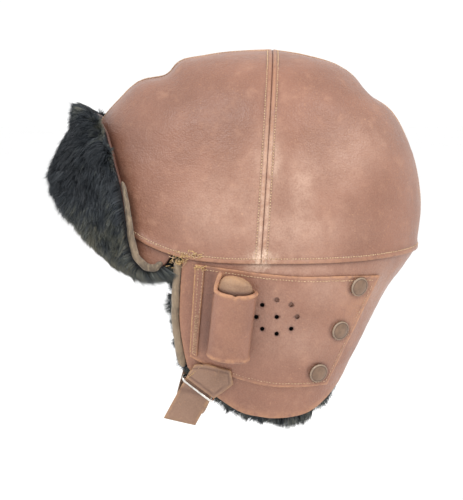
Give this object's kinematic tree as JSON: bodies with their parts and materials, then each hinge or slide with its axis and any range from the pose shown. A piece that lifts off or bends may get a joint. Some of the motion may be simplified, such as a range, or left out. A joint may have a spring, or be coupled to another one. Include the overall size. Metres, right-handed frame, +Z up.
{
  "type": "leather flying helmet",
  "caption": "Brown leather flying helmet with a turned-up fur brow flap, fur-lined ear flaps, tube pockets, snap caps, listening holes and a chin strap.",
  "frame": {"origin": "inside of the crown under the crossing of its two seams, where it sits on the top of the head", "axes": "+Z up, the wearer looks along -Y, the wearer's left ear is on +X"},
  "size_m": [0.2164, 0.2544, 0.2476],
  "materials": {
    "brown_leather": "worn, semi-matt",
    "inner_leather": "matt",
    "tan_skin": "suede, cut edge",
    "plug_leather": "smooth",
    "black_fur": "deep fur",
    "snap_enamel": "glossy enamel",
    "bright_wire": "polished"
  },
  "bodies": {
    "root": {"crown_front_left": "brown_leather", "crown_back_left": "brown_leather", "side_left": "brown_leather", "ear_panel_left": "brown_leather", "welt_left": "brown_leather", "tube_sleeve_left": "brown_leather", "strap_tab_left": "brown_leather", "tube_plug_left": "plug_leather", "ear_lining_left": "black_fur", "flap_edge_left": "tan_skin", "edge_roll_left": "tan_skin", "snap_1_left": "snap_enamel", "snap_2_left": "snap_enamel", "snap_3_left": "snap_enamel", "crown_front_right": "brown_leather", "crown_back_right": "brown_leather", "side_right": "brown_leather", "ear_panel_right": "brown_leather", "welt_right": "brown_leather", "tube_sleeve_right": "brown_leather", "strap_tab_right": "brown_leather", "tube_plug_right": "plug_leather", "ear_lining_right": "black_fur", "flap_edge_right": "tan_skin", "edge_roll_right": "tan_skin", "snap_1_right": "snap_enamel", "snap_2_right": "snap_enamel", "snap_3_right": "snap_enamel", "front_flap": "inner_leather", "front_fur": "black_fur", "chin_strap": "brown_leather", "wire_loop": "bright_wire"}
  },
  "joints": []
}
